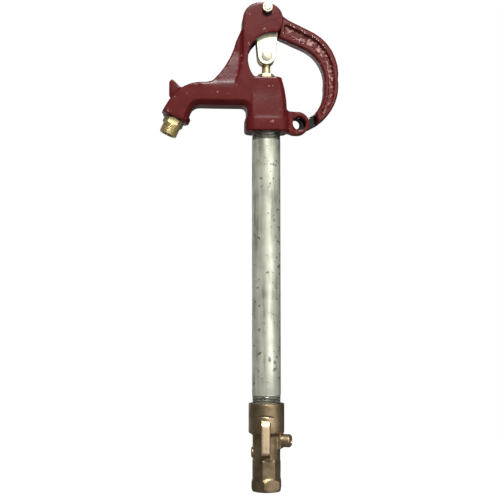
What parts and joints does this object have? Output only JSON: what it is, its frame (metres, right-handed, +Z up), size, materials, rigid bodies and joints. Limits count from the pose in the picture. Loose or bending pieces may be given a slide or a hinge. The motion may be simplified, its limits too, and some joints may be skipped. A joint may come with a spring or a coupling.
{
  "type": "frost-free yard hydrant",
  "caption": "Frost-free yard hydrant: lever-lifted rod in a galvanised standpipe, cast head with down-turned hose spout, bronze foot valve that drains itself.",
  "frame": {"origin": "centre of the mouth of the inlet thread at the foot of the valve body", "axes": "+Z up the standpipe's axis; the spout points to -X and the lever handle hangs on the +X side; the pivot bolt runs along Y"},
  "size_m": [0.2656, 0.0609, 0.7184],
  "materials": {
    "maroon_paint": "glossy maroon enamel over rough sand-cast iron",
    "galvanised_steel": "hot-dip galvanised, dull and streaked",
    "zinc_steel": "bright zinc plate",
    "bronze": "as-cast bronze, brown and dull",
    "brass": "turned yellow brass",
    "rod_steel": "plain drawn steel",
    "black_rubber": "moulded rubber",
    "packing_fibre": "graphited packing"
  },
  "bodies": {
    "root": {"head_casting": "maroon_paint", "standpipe": "galvanised_steel", "valve_body": "bronze", "valve_seat": "bronze", "hose_nozzle": "brass", "packing_nut": "brass", "packing_rings": "packing_fibre", "packing_washer": "brass", "pivot_bolt": "zinc_steel", "pivot_nut": "zinc_steel", "pivot_sleeve": "zinc_steel"},
    "lever": {"lever_handle": "maroon_paint", "crank_pin": "zinc_steel"},
    "link": {"link_front": "zinc_steel", "link_rear": "zinc_steel", "link_rivet": "zinc_steel"},
    "rod": {"upper_rod": "brass", "rod_coupling": "rod_steel", "operating_rod": "rod_steel", "jam_nut": "rod_steel", "plunger_body": "bronze", "plunger_rings": "black_rubber", "plunger_seal": "black_rubber", "seal_washer": "brass", "seal_screw": "brass"}
  },
  "joints": [
    {"name": "lever_lift", "type": "hinge", "parent": "root", "child": "lever", "pos_m": [0, 0, 0.7079], "axis": [0, -1, 0], "range_deg": [0, 75]},
    {"name": "link_swing", "type": "hinge", "parent": "lever", "child": "link", "pos_m": [0, 0, 0.6834], "axis": [0, -1, 0], "range_deg": [-108, 0]},
    {"name": "rod_lift", "type": "slide", "parent": "root", "child": "rod", "axis": [0, 0, 1], "range_m": [0, 0.0252]}
  ],
  "couplings": [
    {"joint": "link_swing", "follows": "lever_lift", "ratio": -1.4395},
    {"joint": "rod_lift", "follows": "lever_lift", "m_per_rad": 0.019221}
  ]
}
